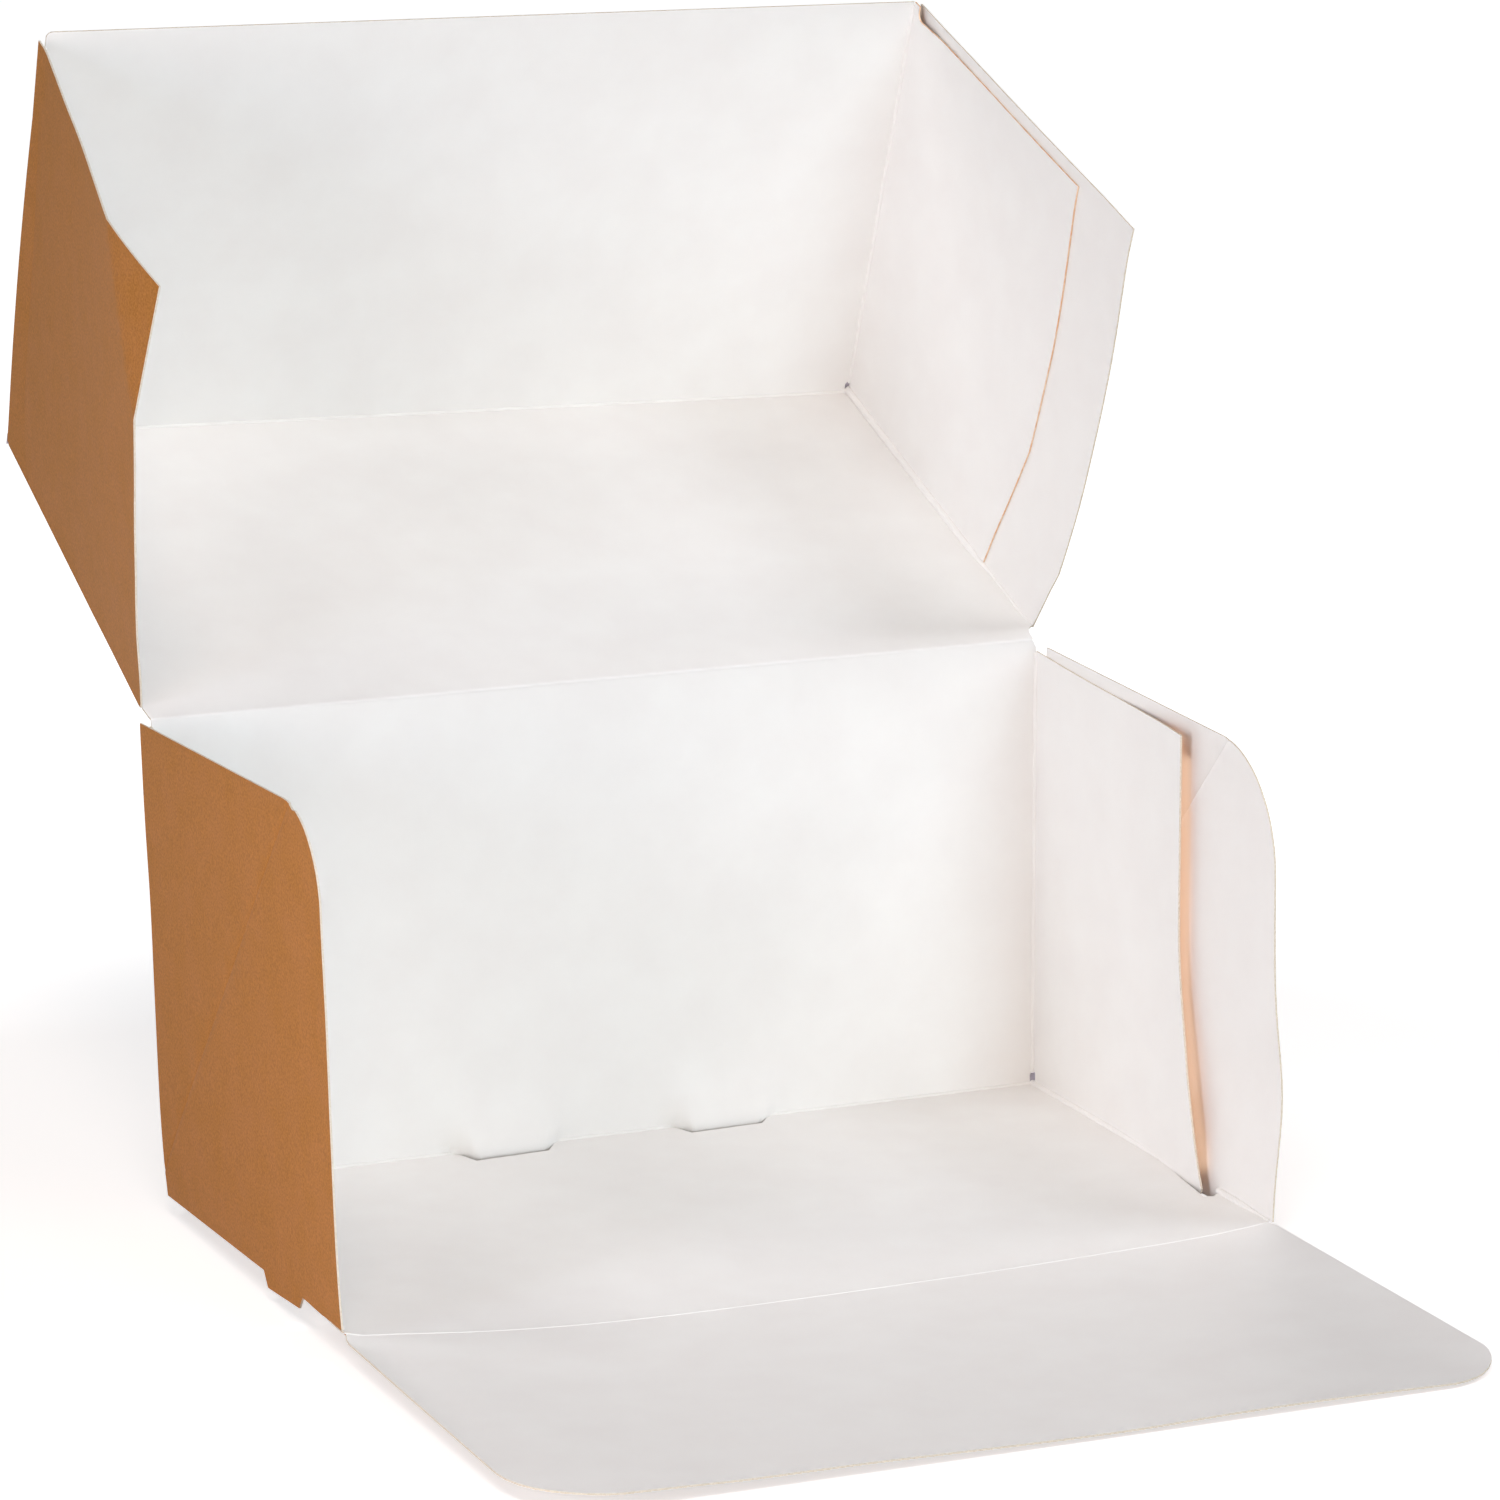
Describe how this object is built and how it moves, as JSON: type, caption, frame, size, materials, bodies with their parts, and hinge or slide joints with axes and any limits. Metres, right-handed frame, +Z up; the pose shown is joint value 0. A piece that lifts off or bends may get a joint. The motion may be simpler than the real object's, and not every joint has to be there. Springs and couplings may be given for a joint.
{
  "type": "pastry box",
  "caption": "Open rectangular pastry box folded from one sheet of board, kraft outside and white inside, with a hinged lid and a front flap.",
  "frame": {"origin": "middle of the underside of the tray's floor", "axes": "+X to the right as seen from the open front, +Y to the rear, +Z up"},
  "size_m": [0.237, 0.3407, 0.263],
  "materials": {
    "kraft_board": "white-lined kraft board: matt white inside, brown kraft fibre outside, cream cut edges"
  },
  "bodies": {
    "tray": {"tray": "kraft_board"},
    "lid": {"lid": "kraft_board"},
    "front_flap": {"front_flap": "kraft_board"}
  },
  "joints": [
    {"name": "lid_hinge", "type": "hinge", "parent": "tray", "child": "lid", "pos_m": [0, 0.06, 0.11], "axis": [1, 0, 0], "range_deg": [-90, 157.35]},
    {"name": "front_flap_hinge", "type": "hinge", "parent": "tray", "child": "front_flap", "pos_m": [0, -0.06, 0], "axis": [-1, 0, 0], "range_deg": [0, 92.83]}
  ]
}
